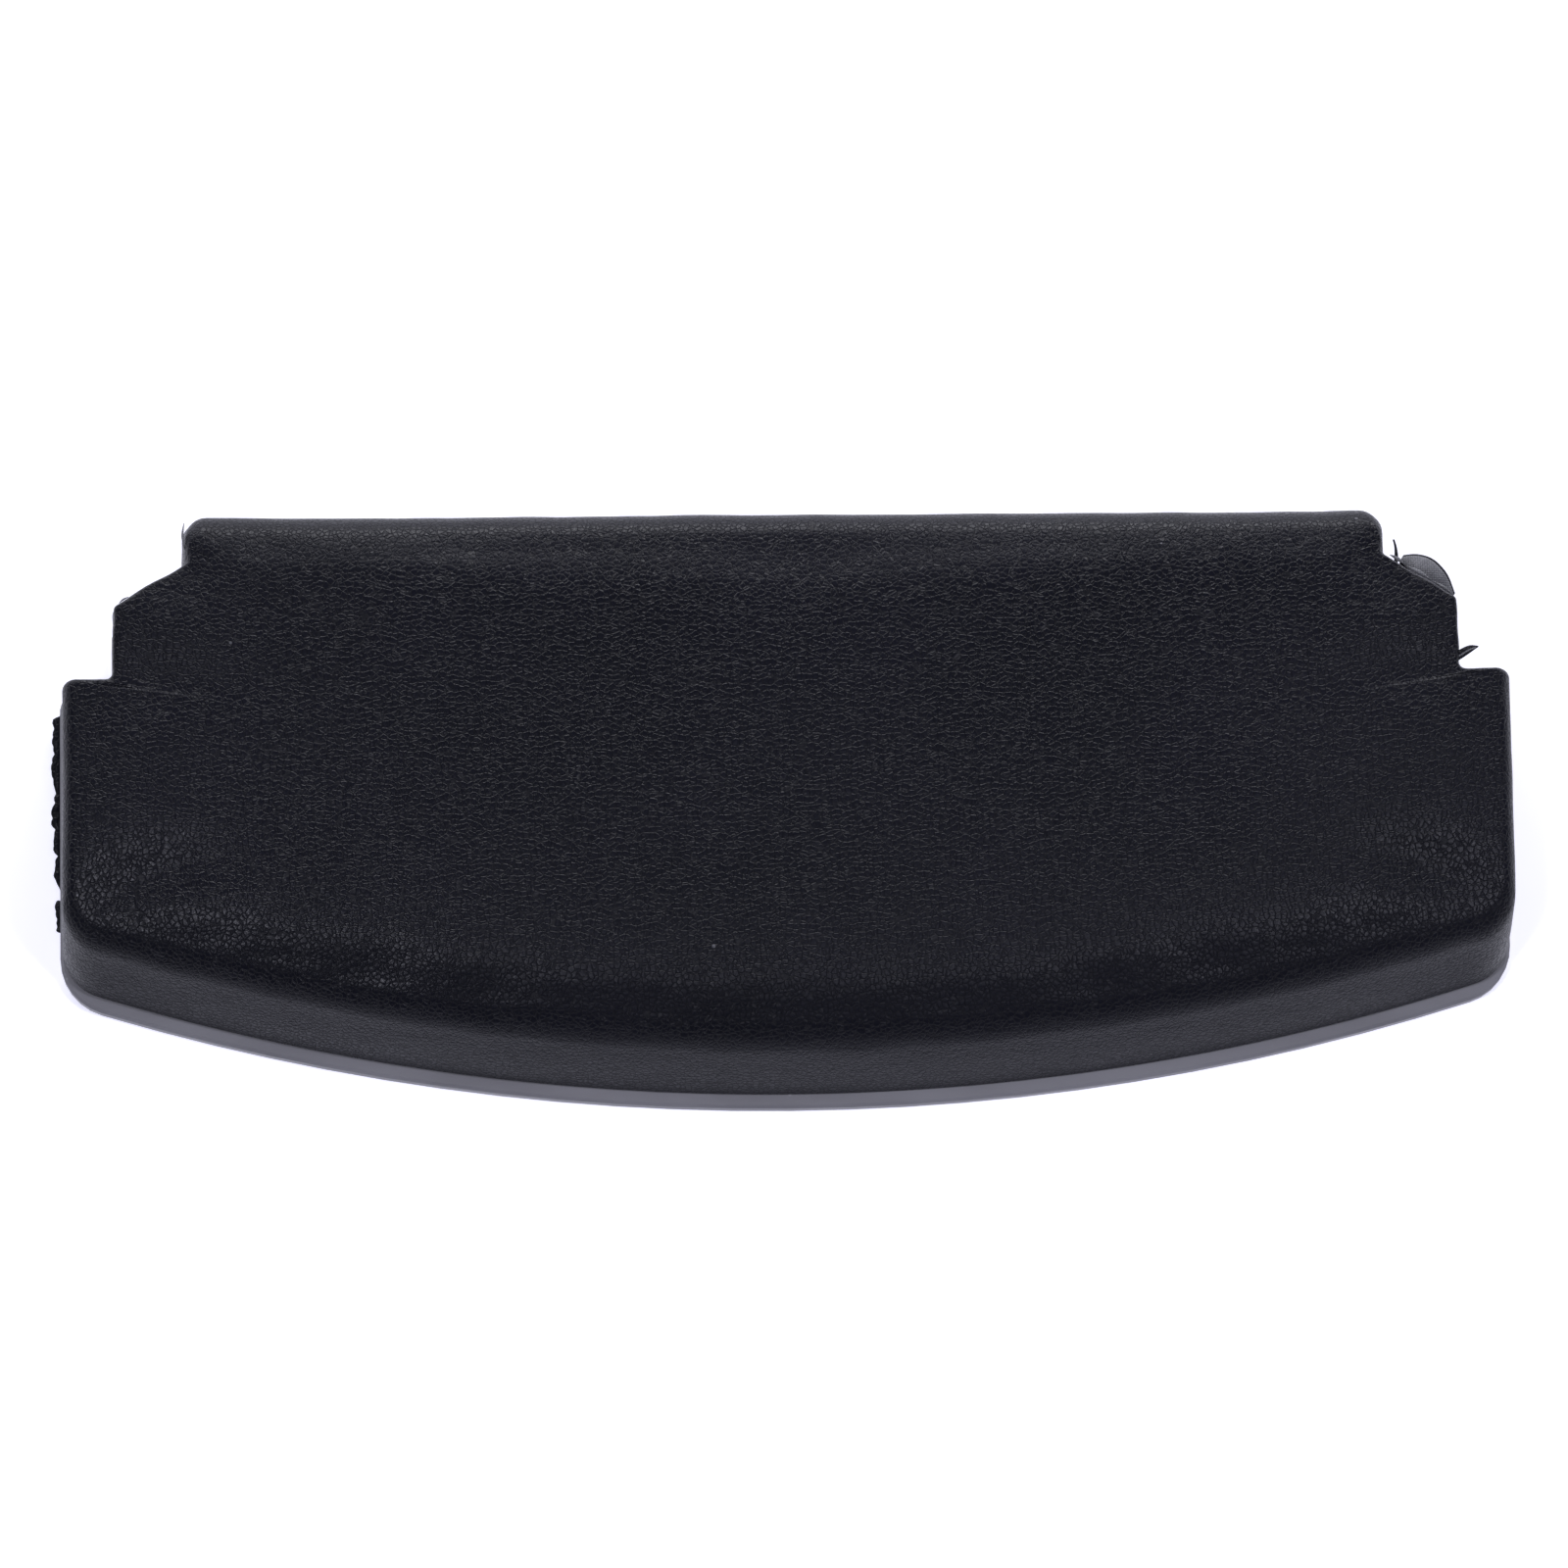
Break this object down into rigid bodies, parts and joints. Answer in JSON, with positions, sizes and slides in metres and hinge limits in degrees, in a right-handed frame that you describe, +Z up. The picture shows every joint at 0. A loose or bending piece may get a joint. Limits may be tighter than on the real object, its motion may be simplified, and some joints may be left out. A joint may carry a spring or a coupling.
{
  "type": "chair armrest pad",
  "caption": "Soft padded top for a chair's arm: bowed front edge, notched rear corners, stapled cover over foam and board, closed below by a screwed-on base plate.",
  "frame": {"origin": "middle of the footprint on the underside of the base plate", "axes": "+X along the pad, +Y towards its straight rear edge, +Z up towards the padded top"},
  "size_m": [0.2454, 0.1, 0.0268],
  "materials": {
    "cover_vinyl": "near-black leather-grain coated fabric, satin sheen",
    "foam": "open-cell cushion foam, cream",
    "plywood": "raw plywood, laminated edge",
    "base_plastic": "grey moulded plastic, fine spark texture",
    "zinc_steel": "zinc-plated steel",
    "screw_steel": "dark zinc-plated steel",
    "staple_steel": "galvanised wire"
  },
  "bodies": {
    "root": {"cover": "cover_vinyl", "foam_core": "foam", "support_board": "plywood", "base_plate": "base_plastic", "tee_nut_1": "zinc_steel", "tee_nut_2": "zinc_steel", "tee_nut_3": "zinc_steel", "tee_nut_4": "zinc_steel", "base_screw_1": "screw_steel", "base_screw_2": "screw_steel", "base_screw_3": "screw_steel", "base_screw_4": "screw_steel", "base_screw_5": "screw_steel", "base_screw_6": "screw_steel", "staple_01": "staple_steel", "staple_02": "staple_steel", "staple_03": "staple_steel", "staple_04": "staple_steel", "staple_05": "staple_steel", "staple_06": "staple_steel", "staple_07": "staple_steel", "staple_08": "staple_steel", "staple_09": "staple_steel", "staple_10": "staple_steel", "staple_11": "staple_steel", "staple_12": "staple_steel", "staple_13": "staple_steel", "staple_14": "staple_steel", "staple_15": "staple_steel", "staple_16": "staple_steel", "staple_17": "staple_steel", "staple_18": "staple_steel"}
  },
  "joints": []
}
